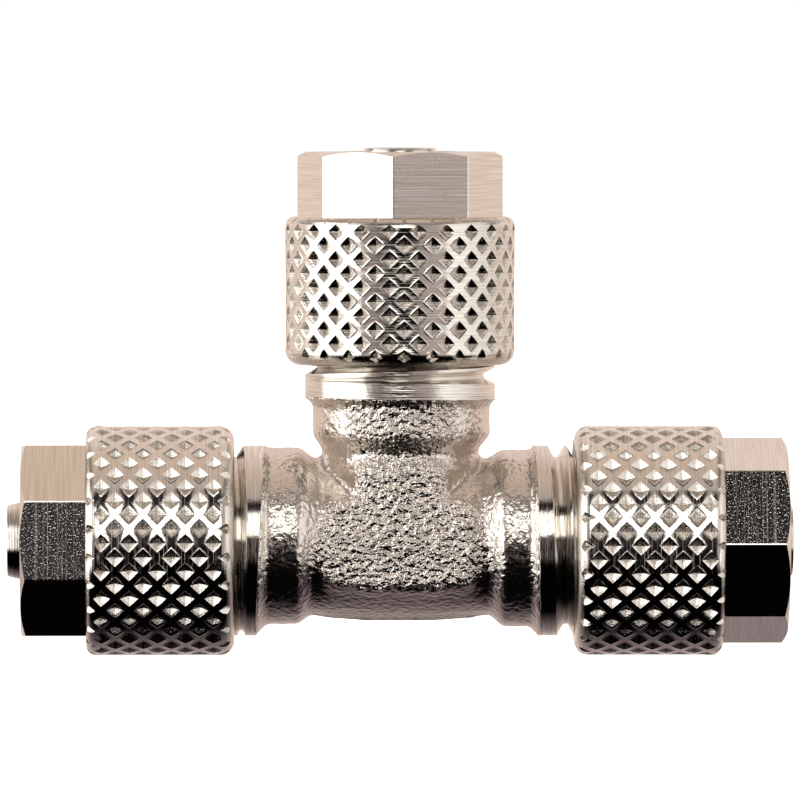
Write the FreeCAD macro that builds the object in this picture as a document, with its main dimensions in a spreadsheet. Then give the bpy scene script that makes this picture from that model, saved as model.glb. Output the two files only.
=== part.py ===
import FreeCAD, Part
import os
import Sketcher

# An equal tee for plastic air tube, of nickel-plated brass.
#
# One forged body carries three arms at right angles. Each arm ends in a male thread and, beyond
# it, a bored spigot that the tube is pushed over. A union nut, knurled for the fingers and
# octagonal for a spanner, screws down each thread and traps the tube on its spigot.
#
# Frame: the three arms' axes cross at the origin. +X is along the right arm, -X along the left
# arm, +Z along the branch arm. Along an arm, "reach" is the distance from the crossing.
# All sizes are in millimetres and degrees.

SIZES = {
    # forged middle of the body
    "waist_radius": 3.83,
    "waist_end": 4.45,
    "hub_start": 5.25,
    "hub_radius": 4.63,
    "flat_depth": 3.9,
    "flat_half_height": 2.24,
    "flat_half_length": 3.73,
    "flat_top": 4.4,
    "flat_corner": 0.5,
    # turned collar, which is the uncut end of each thread
    "collar_start": 7.3,
    "thread_radius": 5.0,
    "stub_end": 14.5,
    "stub_chamfer": 0.6,
    # male thread M10 x 1, and the female one in the nut, with room between them
    "thread_pitch": 1.0,
    "male_root_radius": 4.4,
    "male_root_width": 0.2,
    "first_groove": 8.2,
    "female_crest_radius": 4.5,
    "female_root_radius": 5.08,
    "female_root_width": 0.15,
    "flank_slope": 0.57735,
    "cut_overrun": 0.1,
    # spigot for tube of 4 mm bore
    "spigot_radius": 1.95,
    "spigot_root": 0.4,
    "crest_start": 18.0,
    "crest_end": 19.0,
    "crest_radius": 2.25,
    "tip_reach": 20.65,
    "tip_radius": 1.9,
    "tip_chamfer": 0.12,
    "bore_radius": 1.35,
    # union nut, measured from its inner face
    "nut_length": 11.2,
    "knurl_radius": 6.0,
    "knurl_length": 7.7,
    "knurl_edge": 0.5,
    "flats_half_width": 5.0,
    "corner_cut_radius": 4.98,
    "entry_radius": 5.15,
    "entry_depth": 0.8,
    "relief_start": 6.6,
    "relief_end": 7.5,
    "relief_radius": 5.1,
    "tube_hole_radius": 3.05,
    "tube_hole_lead": 0.3,
    # where each nut stands: its inner face when it has turned 0 degrees, and how far it has turned
    "nut_home": 8.7,
    "left_turn": 2.5,
    "right_turn": 202.5,
    "branch_turn": 198.0,
}

doc = FreeCAD.newDocument("air_tube_tee")


class Size:
    """A length with the expression that ties it to the sheet, so that sums stay tied as well."""

    def __init__(self, value, text):
        self.value = value
        self.text = text

    def __add__(self, other):
        return Size(self.value + other.value, f"({self.text} + {other.text})")

    def __sub__(self, other):
        return Size(self.value - other.value, f"({self.text} - {other.text})")

    def __neg__(self):
        return Size(-self.value, f"(-{self.text})")

    def times(self, factor):
        return Size(self.value * factor, f"({self.text} * {factor})")

    def scaled(self, other):
        return Size(self.value * other.value, f"({self.text} * {other.text})")


def write_sheet(sizes):
    """Put each size in a cell of the sheet, and return the cells by name."""
    sheet = doc.addObject("Spreadsheet::Sheet", "sizes")
    for row, (name, value) in enumerate(sizes.items(), start=1):
        sheet.set(f"A{row}", str(value))
        sheet.setAlias(f"A{row}", name)
    doc.recompute()
    return {name: Size(value, f"sizes.{name}") for name, value in sizes.items()}


size = write_sheet(SIZES)
ZERO = Size(0.0, "0")


def add_sketch(body, role, name):
    """An empty sketch on one of the body's own origin planes."""
    plane = next(f for f in body.Origin.OriginFeatures if f.Role == role)
    sketch = body.newObject("Sketcher::SketchObject", name)
    sketch.AttachmentSupport = (plane, [""])
    sketch.MapMode = "FlatFace"
    return sketch


def fix_point(sketch, line, point):
    """Tie the start of a line to its place across and up the sheet of the sketch."""
    for kind, place in zip(("DistanceX", "DistanceY"), point):
        index = sketch.addConstraint(Sketcher.Constraint(kind, -1, 1, line, 1, place.value))
        sketch.setExpression(f"Constraints[{index}]", place.text)


def add_outline(body, role, name, points):
    """A sketch with one closed outline of straight lines through the points."""
    sketch = add_sketch(body, role, name)
    corners = [FreeCAD.Vector(across.value, up.value, 0) for across, up in points]
    count = len(corners)
    for i in range(count):
        sketch.addGeometry(Part.LineSegment(corners[i], corners[(i + 1) % count]))
    for i in range(count):
        sketch.addConstraint(Sketcher.Constraint("Coincident", i, 2, (i + 1) % count, 1))
    for i, point in enumerate(points):
        fix_point(sketch, i, point)
    return sketch


def add_turned(body, kind, name, outline, axis):
    """A full turn of an outline about an axis of its sketch: Revolution adds, Groove cuts."""
    feature = body.newObject(f"PartDesign::{kind}", name)
    feature.Profile = outline
    feature.ReferenceAxis = (outline, [axis])
    feature.Angle = 360
    doc.recompute()
    return feature


def add_thread_cut(body, name, outline, axis, length, reverse):
    """A right-handed helical cut of one tooth space along an axis of its sketch."""
    cut = body.newObject("PartDesign::SubtractiveHelix", name)
    cut.Profile = outline
    cut.ReferenceAxis = (outline, [axis])
    cut.Mode = "pitch-height-angle"
    cut.setExpression("Pitch", "sizes.thread_pitch")
    cut.setExpression("Height", length.text)
    cut.Reversed = reverse
    doc.recompute()
    return cut


def must_cut(feature, before):
    """A cut that points away from the solid removes nothing and shows no error."""
    if feature.Shape.Volume > before - 0.1:
        raise RuntimeError(f"{feature.Label} cut nothing")


def add_fillet(body, name, base, edges, radius):
    """Round the edges of the last feature that the test picks out."""
    picked = [f"Edge{i}" for i, edge in enumerate(base.Shape.Edges, start=1) if edges(edge)]
    fillet = body.newObject("PartDesign::Fillet", name)
    fillet.Base = (base, picked)
    fillet.setExpression("Radius", radius.text)
    doc.recompute()
    return fillet


# ---------------------------------------------------------------- forged and turned tee body


def arm_profile():
    """Half the section of one solid arm, as (reach, radius) points from the crossing outwards."""
    chamfer = size["stub_chamfer"]
    tip_chamfer = size["tip_chamfer"]
    stem = size["spigot_radius"]
    return [
        (ZERO, ZERO),
        (ZERO, size["waist_radius"]),
        (size["waist_end"], size["waist_radius"]),
        (size["hub_start"], size["hub_radius"]),
        (size["collar_start"], size["hub_radius"]),
        (size["collar_start"], size["thread_radius"]),
        (size["stub_end"] - chamfer, size["thread_radius"]),
        (size["stub_end"], size["thread_radius"] - chamfer),
        (size["stub_end"], stem + size["spigot_root"]),
        (size["stub_end"] + size["spigot_root"], stem),
        (size["crest_start"] - size["spigot_root"], stem),
        (size["crest_start"], size["crest_radius"]),
        (size["crest_end"], size["crest_radius"]),
        (size["tip_reach"] - tip_chamfer, size["tip_radius"]),
        (size["tip_reach"], size["tip_radius"] - tip_chamfer),
        (size["tip_reach"], ZERO),
    ]


def tooth_space(root_radius, root_width, open_radius, depth):
    """A 60 degree tooth space as (offset along the axis, radius) points about its own middle."""
    half_root = root_width.times(0.5)
    half_open = half_root + depth.scaled(size["flank_slope"])
    return [
        (-half_root, root_radius),
        (half_root, root_radius),
        (half_open, open_radius),
        (-half_open, open_radius),
    ]


# each arm: its name, how a (reach, radius) point lies in the XZ sketch, the sketch axis that
# it is turned about, and whether its reach runs against that axis
ARMS = {
    "right": (lambda reach, radius: (reach, radius), "H_Axis", False),
    "left": (lambda reach, radius: (-reach, -radius), "H_Axis", True),
    "branch": (lambda reach, radius: (radius, reach), "V_Axis", False),
}


def add_raised_flats(body):
    """The T of two flat bands that the forging die leaves proud on the front and the back."""
    bands = {
        "run_flat": (size["flat_half_length"], -size["flat_half_height"], size["flat_half_height"]),
        "branch_flat": (size["flat_half_height"], -size["flat_half_height"], size["flat_top"]),
    }
    for name, (half, bottom, top) in bands.items():
        corners = [(-half, bottom), (half, bottom), (half, top), (-half, top)]
        outline = add_outline(body, "XZ_Plane", f"{name}_outline", corners)
        pad = body.newObject("PartDesign::Pad", name)
        pad.Profile = outline
        pad.Midplane = True
        pad.setExpression("Length", size["flat_depth"].times(2).text)
        doc.recompute()

    def is_lower_corner(edge):
        """The short edges along Y at the two ends of the bar's lower side."""
        place = edge.CenterOfMass
        at_end = abs(abs(place.x) - size["flat_half_length"].value) < 0.01
        return at_end and abs(place.z + size["flat_half_height"].value) < 0.01

    add_fillet(body, "flat_corners", pad, is_lower_corner, size["flat_corner"])


def add_bores(body):
    """Two drillings of one size: one right through the run, one down the branch to meet it."""
    for name, role in (("run_bore", "YZ_Plane"), ("branch_bore", "XY_Plane")):
        before = body.Shape.Volume
        circle = add_sketch(body, role, f"{name}_circle")
        centre = FreeCAD.Vector(0, 0, 0)
        up = FreeCAD.Vector(0, 0, 1)
        circle.addGeometry(Part.Circle(centre, up, size["bore_radius"].value))
        circle.addConstraint(Sketcher.Constraint("Coincident", 0, 3, -1, 1))
        index = circle.addConstraint(Sketcher.Constraint("Radius", 0, size["bore_radius"].value))
        circle.setExpression(f"Constraints[{index}]", size["bore_radius"].text)
        pocket = body.newObject("PartDesign::Pocket", name)
        pocket.Profile = circle
        pocket.Type = "ThroughAll"
        if name == "run_bore":
            pocket.Midplane = True
        else:
            pocket.Reversed = True
        doc.recompute()
        must_cut(pocket, before)


def add_male_thread(body, arm):
    """One arm's male thread. The branch arm's cut starts half a turn later than the others'."""
    place, axis, reverse = ARMS[arm]
    start = size["first_groove"]
    if arm == "branch":
        start = start + size["thread_pitch"].times(0.5)
    root = size["male_root_radius"]
    opening = size["thread_radius"] + size["cut_overrun"]
    space = tooth_space(root, size["male_root_width"], opening, opening - root)
    points = [place(start + offset, radius) for offset, radius in space]
    outline = add_outline(body, "XZ_Plane", f"{arm}_tooth_space", points)
    before = body.Shape.Volume
    length = size["stub_end"] + size["thread_pitch"] - start
    cut = add_thread_cut(body, f"{arm}_thread", outline, axis, length, reverse)
    must_cut(cut, before)


def make_tee_body():
    body = doc.addObject("PartDesign::Body", "tee_body")
    for arm, (place, axis, _) in ARMS.items():
        points = [place(reach, radius) for reach, radius in arm_profile()]
        outline = add_outline(body, "XZ_Plane", f"{arm}_arm_outline", points)
        add_turned(body, "Revolution", f"{arm}_arm", outline, axis)
    add_raised_flats(body)
    for arm in ARMS:
        add_male_thread(body, arm)
    add_bores(body)
    return body


# ---------------------------------------------------------------- union nuts


def add_knurled_part(body):
    """The round part that the fingers turn, with its two edges rounded. Its knurl is left plain."""
    corners = [
        (ZERO, ZERO),
        (size["knurl_radius"], ZERO),
        (size["knurl_radius"], size["knurl_length"]),
        (ZERO, size["knurl_length"]),
    ]
    outline = add_outline(body, "XZ_Plane", "knurled_part_outline", corners)
    turned = add_turned(body, "Revolution", "knurled_part", outline, "V_Axis")

    def is_rim(edge):
        return isinstance(edge.Curve, Part.Circle)

    add_fillet(body, "knurl_edges", turned, is_rim, size["knurl_edge"])


def nut_hollow():
    """Half the inside of the nut: entry, thread bore, relief, cone on the tube, tube hole."""
    bore = size["female_crest_radius"]
    relief = size["relief_radius"]
    hole = size["tube_hole_radius"]
    lead = size["tube_hole_lead"]
    return [
        (ZERO, ZERO),
        (size["entry_radius"], ZERO),
        (size["entry_radius"], size["entry_depth"]),
        (bore, size["entry_depth"] + size["entry_radius"] - bore),
        (bore, size["relief_start"]),
        (relief, size["relief_start"] + relief - bore),
        (relief, size["relief_end"]),
        (bore, size["relief_end"]),
        (hole, size["relief_end"] + bore - hole),
        (hole, size["nut_length"] - lead),
        (hole + lead, size["nut_length"]),
        (ZERO, size["nut_length"]),
    ]


def add_octagon(body):
    """Eight flats for a spanner, with their corners turned off at the outer end."""
    half = size["flats_half_width"]
    tan_of_side = Size(0.414214, "0.414214")
    short = half.scaled(tan_of_side)
    corners = [(half, -short), (half, short), (short, half), (-short, half)]
    corners += [(-across, -up) for across, up in corners]
    outline = add_outline(body, "XY_Plane", "octagon_outline", corners)
    pad = body.newObject("PartDesign::Pad", "octagon")
    pad.Profile = outline
    pad.setExpression("Length", size["nut_length"].text)
    doc.recompute()
    before = body.Shape.Volume
    far = size["knurl_radius"]
    inner = size["corner_cut_radius"]
    slope = (far - inner).scaled(size["flank_slope"])
    above = size["nut_length"] + size["cut_overrun"]
    cut_points = [
        (inner, above),
        (inner, size["nut_length"]),
        (far, size["nut_length"] - slope),
        (far, above),
    ]
    cut_outline = add_outline(body, "XZ_Plane", "corner_cut_outline", cut_points)
    cut = add_turned(body, "Groove", "corner_cut_groove", cut_outline, "V_Axis")
    must_cut(cut, before)


def add_female_thread(body):
    """The nut's thread meshes with the arm's when the nut stands at its home and any turn from it."""
    root = size["female_root_radius"]
    opening = size["female_crest_radius"] - size["cut_overrun"]
    space = tooth_space(root, size["female_root_width"], opening, root - opening)
    start = size["first_groove"] - size["nut_home"]
    points = [(radius, start + offset) for offset, radius in space]
    outline = add_outline(body, "XZ_Plane", "tooth_space", points)
    length = size["relief_start"] + size["thread_pitch"].times(0.5) - start
    before = body.Shape.Volume
    cut = add_thread_cut(body, "female_thread", outline, "V_Axis", length, False)
    must_cut(cut, before)


def make_nut(name, turn, towards):
    """A union nut, screwed on by its turn. Its own +Z points out of the arm, along towards."""
    body = doc.addObject("PartDesign::Body", name)
    add_knurled_part(body)
    add_octagon(body)
    hollow = add_outline(body, "XZ_Plane", "hollow_outline", nut_hollow())
    before = body.Shape.Volume
    must_cut(add_turned(body, "Groove", "hollow", hollow, "V_Axis"), before)
    add_female_thread(body)
    # one full turn moves the nut by one pitch, so its place along the arm follows from its turn
    reach = f"(sizes.nut_home + sizes.thread_pitch * sizes.{turn} / 360)"
    across, up, lean = towards
    body.setExpression(
        "Placement",
        f"placement(vector({across} * {reach}; 0; {up} * {reach}); "
        f"rotation(vector(0; 1; 0); {lean}) * rotation(vector(0; 0; 1); sizes.{turn}))",
    )
    doc.recompute()
    return body


nodes = [make_tee_body()]
# each nut with the cell that holds its turn, and its arm: across, up and lean from +Z in degrees
NUTS = {
    "left_nut": ("left_turn", (-1, 0, -90)),
    "right_nut": ("right_turn", (1, 0, 90)),
    "branch_nut": ("branch_turn", (0, 1, 0)),
}
for name, (turn, towards) in NUTS.items():
    nodes.append(make_nut(name, turn, towards))

# ---------------------------------------------------------------- checks, then one file per node

for thing in doc.Objects:
    if "Invalid" in thing.State or "Error" in thing.State:
        raise RuntimeError(f"{thing.Label} failed: {thing.State}")

os.makedirs("parts", exist_ok=True)
for node in nodes:
    shape = node.Shape
    if shape.isNull() or not shape.isValid() or len(shape.Solids) != 1:
        raise RuntimeError(f"{node.Label} is not one valid solid")
    shape.exportStep(f"parts/{node.Label}.step")
    box = shape.optimalBoundingBox()
    print(
        f"{node.Label}: {shape.Volume:.1f} mm3, "
        f"x {box.XMin:.2f} to {box.XMax:.2f}, y {box.YMin:.2f} to {box.YMax:.2f}, "
        f"z {box.ZMin:.2f} to {box.ZMax:.2f}"
    )
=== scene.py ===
import math

import bmesh
import bpy
import numpy as np
from mathutils import Matrix, Vector


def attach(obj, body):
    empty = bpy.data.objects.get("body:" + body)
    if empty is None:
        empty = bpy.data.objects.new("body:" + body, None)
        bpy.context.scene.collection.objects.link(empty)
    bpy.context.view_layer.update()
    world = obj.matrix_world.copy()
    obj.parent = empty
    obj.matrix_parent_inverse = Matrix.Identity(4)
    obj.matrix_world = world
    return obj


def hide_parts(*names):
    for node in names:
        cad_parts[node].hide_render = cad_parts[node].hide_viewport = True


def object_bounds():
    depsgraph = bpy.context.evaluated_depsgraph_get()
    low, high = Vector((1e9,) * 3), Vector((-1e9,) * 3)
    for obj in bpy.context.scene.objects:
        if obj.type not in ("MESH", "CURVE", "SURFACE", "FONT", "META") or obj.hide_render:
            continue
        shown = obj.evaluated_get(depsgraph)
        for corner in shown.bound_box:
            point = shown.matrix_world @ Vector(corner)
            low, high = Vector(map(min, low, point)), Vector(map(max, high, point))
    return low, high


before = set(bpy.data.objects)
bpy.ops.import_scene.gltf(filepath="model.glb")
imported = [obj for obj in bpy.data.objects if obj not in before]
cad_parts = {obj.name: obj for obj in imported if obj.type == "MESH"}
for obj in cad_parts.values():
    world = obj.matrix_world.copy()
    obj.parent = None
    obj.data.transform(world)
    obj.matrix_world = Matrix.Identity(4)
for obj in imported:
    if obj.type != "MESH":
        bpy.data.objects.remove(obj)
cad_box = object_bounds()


# ---------------------------------------------------------------- forged middle of the tee
# One hot forging in brass: a run and a branch that cross, with a raised T-shaped flat on the front
# and back, and a hub on each arm, a little off the axis that its collar is later turned on. Lengths
# are in millimetres, and a finished mesh is brought to metres once, at its end.
MM = 0.001
WAIST_R = 3.83
HUB_R = 4.60
HUB_LEANS_OVER_Z = (-2.0, 3.0)
RUN_HUB_LOW = (4.5, 5.55)
RUN_HUB_HIGH = (4.0, 5.5)
BRANCH_HUB = (4.45, 5.75)
HUB_SHIFT = {"left": (0, 0, 0.26), "right": (0, 0, 0.13), "branch": (0.07, 0, 0)}
FLARE_FROM = {"left": 7.05, "right": 6.83, "branch": 7.18}
FLARE_SLOPE = 1.15
FLARE_SOFTNESS = 0.08
FORGED_UNDER_COLLAR_R = 4.97
COLLAR_CAP_FROM = 6.3
FORGED_END = 7.68
FLAT_DEPTH = 3.90
FLAT_HALF_HEIGHT = 2.26
FLAT_HALF_LENGTH = 3.75
FLAT_TOP = 4.15
FLAT_CORNER_R = 0.7
FLAT_DRAFT = 0.45
FLAT_EDGE = 0.5
FLAT_FOOT = 0.55
WEB_FILLET = 1.6
WEB_THINNING = 1.2
WEB_THINS_OVER_Y = (0.3, 1.7)
SKIN_CELL = 0.13
SKIN_BUMPS = ((0.42, 0.016, 11), (0.22, 0.022, 12))
BUMPS_END = 7.5
BUMPS_OFF_FLATS = 0.45
STRUCK_OVER_Y = (3.4, 3.8)
STRUCK_UP_TO_X = (4.2, 4.9)
NET_LOW = (-7.9, -5.3, -5.3)
NET_HIGH = (7.9, 5.3, 7.9)
SLOPE_STEP = 0.002
FLASH_HEIGHT = 0.05
FLASH_WIDTH = 0.22


def smooth_step(value, low, high):
    share = np.clip((value - low) / (high - low), 0, 1)
    return share * share * (3 - 2 * share)


def soft_union(a, b, width):
    """Two skins joined with a hollow fillet of about that width."""
    share = np.clip(0.5 + 0.5 * (b - a) / width, 0, 1)
    return b * (1 - share) + a * share - width * share * (1 - share)


def soft_crossing(a, b, width):
    """What two skins have in common, with its edge rounded."""
    return -soft_union(-a, -b, width)


def rounded_box(x, z, x_low, x_high, z_low, z_high, radius):
    """Flat distance to a box with rounded corners."""
    dx = np.abs(x - (x_low + x_high) / 2) - (x_high - x_low) / 2 + radius
    dz = np.abs(z - (z_low + z_high) / 2) - (z_high - z_low) / 2 + radius
    outside = np.hypot(np.maximum(dx, 0), np.maximum(dz, 0))
    return outside + np.minimum(np.maximum(dx, dz), 0) - radius


def flare(along, start):
    """How far a hub's end has widened towards its collar, starting softly."""
    return FLARE_SLOPE * FLARE_SOFTNESS * np.logaddexp(0, (along - start) / FLARE_SOFTNESS)


def forged_skin(p):
    """Distance in mm from the forging's skin, negative in the metal."""
    x, y, z = p[..., 0], p[..., 1], p[..., 2]
    along = np.abs(x)
    high = smooth_step(z, *HUB_LEANS_OVER_Z)
    start = RUN_HUB_LOW[0] + (RUN_HUB_HIGH[0] - RUN_HUB_LOW[0]) * high
    end = RUN_HUB_LOW[1] + (RUN_HUB_HIGH[1] - RUN_HUB_LOW[1]) * high
    hub = smooth_step(along, start, end)
    on_left = x < 0
    rise = np.where(on_left, HUB_SHIFT["left"][2], HUB_SHIFT["right"][2]) * hub
    widening = flare(along, np.where(on_left, FLARE_FROM["left"], FLARE_FROM["right"]))
    run = np.hypot(y, z - rise) - (WAIST_R + (HUB_R - WAIST_R) * hub + widening)
    hub = smooth_step(z, *BRANCH_HUB)
    branch_r = WAIST_R + (HUB_R - WAIST_R) * hub + flare(z, FLARE_FROM["branch"])
    branch = np.maximum(np.hypot(x - HUB_SHIFT["branch"][0] * hub, y) - branch_r, -z)
    web = WEB_FILLET - WEB_THINNING * smooth_step(np.abs(y), *WEB_THINS_OVER_Y)
    skin = soft_union(run, branch, web)
    bar = rounded_box(x, z, -FLAT_HALF_LENGTH, FLAT_HALF_LENGTH,
                      -FLAT_HALF_HEIGHT, FLAT_HALF_HEIGHT, FLAT_CORNER_R)
    stem = rounded_box(x, z, -FLAT_HALF_HEIGHT, FLAT_HALF_HEIGHT,
                       -FLAT_HALF_HEIGHT, FLAT_TOP, FLAT_CORNER_R)
    outline = soft_union(bar, stem, FLAT_EDGE)
    wall = outline + FLAT_DRAFT * (np.abs(y) - FLAT_DEPTH)
    raised = soft_crossing(wall, np.abs(y) - FLAT_DEPTH, FLAT_EDGE)
    skin = soft_union(skin, raised, FLAT_FOOT)
    flash = FLASH_HEIGHT * np.exp(-(y / FLASH_WIDTH) ** 2)
    skin = skin - flash
    on_run = np.hypot(y, z) - FORGED_UNDER_COLLAR_R
    on_branch = np.hypot(x, y) - FORGED_UNDER_COLLAR_R
    skin = np.where(along > COLLAR_CAP_FROM, np.maximum(skin, on_run), skin)
    skin = np.where(z > COLLAR_CAP_FROM, np.maximum(skin, on_branch), skin)
    return np.maximum(skin, np.maximum(along, z) - FORGED_END)


def random_heights(p, cell, seed):
    """Smooth random heights from -1 to 1, a lattice cell apart."""
    table = np.random.default_rng(seed).uniform(-1, 1, (64, 64, 64))
    corner = np.floor(p / cell).astype(int)
    part = p / cell - corner
    part = part * part * (3 - 2 * part)
    height = np.zeros(len(p))
    for step in np.ndindex(2, 2, 2):
        i, j, k = ((corner + step) % 64).T
        share = np.prod(np.where(step, part, 1 - part), axis=1)
        height += share * table[i, j, k]
    return height


def net_over_skin(low, high, cell):
    """A closed net of quads over the forging's skin, one point in each lattice cell it crosses."""
    axes = [np.arange(a, b + cell, cell) for a, b in zip(low, high)]
    lattice = np.stack(np.meshgrid(*axes, indexing="ij"), -1)
    depth = forged_skin(lattice)
    cells = tuple(n - 1 for n in depth.shape)
    total = np.zeros(cells + (3,))
    count = np.zeros(cells)

    def corner(values, step):
        return values[tuple(slice(s, s + n) for s, n in zip(step, cells))]

    for axis in range(3):
        across = [a for a in range(3) if a != axis]
        for shift in np.ndindex(2, 2):
            near = np.zeros(3, int)
            near[across] = shift
            far = near.copy()
            far[axis] = 1
            a, b = corner(depth, near), corner(depth, far)
            crossed = (a < 0) != (b < 0)
            share = np.where(crossed, a / np.where(crossed, a - b, 1), 0)
            count += crossed
            total += crossed[..., None] * (near + share[..., None] * (far - near))
    used = count > 0
    number = -np.ones(cells, int)
    number[used] = np.arange(used.sum())
    points = np.argwhere(used) + total[used] / count[used][:, None]
    points = points * cell + np.array(low)
    quads = []
    for axis in range(3):
        b, c = (axis + 1) % 3, (axis + 2) % 3
        ahead = [slice(1, -1)] * 3
        ahead[axis] = slice(0, -1)
        beyond = list(ahead)
        beyond[axis] = slice(1, None)
        starts, ends = depth[tuple(ahead)], depth[tuple(beyond)]
        for leaving in (True, False):
            hit = np.argwhere((starts < 0) & (ends >= 0) if leaving else (starts >= 0) & (ends < 0))
            hit = hit + np.array([0 if a == axis else 1 for a in range(3)])
            around = []
            for db, dc in ((1, 1), (0, 1), (0, 0), (1, 0)):
                place = hit.copy()
                place[:, b] -= db
                place[:, c] -= dc
                around.append(number[place[:, 0], place[:, 1], place[:, 2]])
            loop = np.stack(around if leaving else around[::-1], 1)
            quads.append(loop)
    return points, np.concatenate(quads)


def solid_object(name, points, faces, finishes, finish=0):
    """A closed solid in mm; finish picks one of the piece's finishes."""
    mesh = bpy.data.meshes.new(name)
    mesh.from_pydata([tuple(p) for p in points], [], [tuple(f) for f in faces])
    for material in finishes:
        mesh.materials.append(material)
    mesh.polygons.foreach_set("material_index", [finish] * len(mesh.polygons))
    solid = bpy.data.objects.new(name, mesh)
    bpy.context.collection.objects.link(solid)
    return solid


def linear(code):
    """An sRGB hex value as the linear colour that a shader takes."""
    parts = [int(code[i:i + 2], 16) / 255 for i in (1, 3, 5)]
    return [c / 12.92 if c <= 0.04045 else ((c + 0.055) / 1.055) ** 2.4 for c in parts] + [1.0]


def add_node(tree, kind, settings=(), **links):
    """Adds a node: settings are its properties, and links its inputs by name or number, each a
    value, another node's output, or another node, whose first output is meant."""
    made = tree.nodes.new(kind)
    for key, value in dict(settings).items():
        setattr(made, key, value)
    for key, value in links.items():
        name = key.replace("_", " ")
        socket = made.inputs[int(name[3:])] if name[:3] == "at " else made.inputs[name]
        if isinstance(value, bpy.types.Node):
            value = value.outputs[0]
        if isinstance(value, bpy.types.NodeSocket):
            tree.links.new(value, socket)
        else:
            socket.default_value = value
    return made


# Hot-forged brass under nickel: the die's scale leaves a skin that breaks each reflection into
# flakes of about 0.25 mm. The flats, struck hardest, have deep bright flakes. The rest is satin.
def forged_nickel():
    material = bpy.data.materials.new("nickel_on_forged_skin")
    material.use_nodes = True
    tree = material.node_tree
    place = add_node(tree, "ShaderNodeTexCoord").outputs["Object"]
    flakes = add_node(tree, "ShaderNodeTexNoise", {}, Vector=place, Scale=3600.0, Detail=0.6)
    grain = add_node(tree, "ShaderNodeTexNoise", {}, Vector=place, Scale=9500.0, Detail=1.0)
    height = add_node(tree, "ShaderNodeMath", {"operation": "MULTIPLY_ADD"},
                      at_0=flakes, at_1=3.0, at_2=grain)
    spot = add_node(tree, "ShaderNodeSeparateXYZ", {}, Vector=place).outputs
    front = add_node(tree, "ShaderNodeMath", {"operation": "ABSOLUTE"}, at_0=spot["Y"])
    aside = add_node(tree, "ShaderNodeMath", {"operation": "ABSOLUTE"}, at_0=spot["X"])
    on_middle = add_node(tree, "ShaderNodeMapRange", {}, Value=aside,
                         From_Min=STRUCK_UP_TO_X[1] * MM, From_Max=STRUCK_UP_TO_X[0] * MM)
    on_flat = add_node(tree, "ShaderNodeMapRange", {}, Value=front,
                       From_Min=STRUCK_OVER_Y[0] * MM, From_Max=STRUCK_OVER_Y[1] * MM,
                       To_Max=on_middle)
    struck = add_node(tree, "ShaderNodeMapRange", {}, Value=on_flat, To_Min=0.28, To_Max=1.0)
    bump = add_node(tree, "ShaderNodeBump", {}, Strength=struck, Distance=0.00008, Height=height)
    stain = add_node(tree, "ShaderNodeTexNoise", {}, Vector=place, Scale=330.0, Detail=3.0)
    tone = add_node(tree, "ShaderNodeMix", {"data_type": "RGBA"},
                    at_0=stain, at_6=linear("#DCD3CB"), at_7=linear("#E6E0D8"))
    satin = add_node(tree, "ShaderNodeMapRange", {}, Value=on_flat, To_Min=0.14, To_Max=0.04)
    rough = add_node(tree, "ShaderNodeMath", {"operation": "MULTIPLY_ADD"}, at_0=grain, at_1=0.12,
                     at_2=satin)
    tree.nodes.remove(tree.nodes["Principled BSDF"])
    metal = add_node(tree, "ShaderNodeBsdfPrincipled", {}, Metallic=1.0, Base_Color=tone.outputs[2],
                     Roughness=rough, Normal=bump)
    tree.links.new(metal.outputs[0], tree.nodes["Material Output"].inputs["Surface"])
    return material


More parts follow.
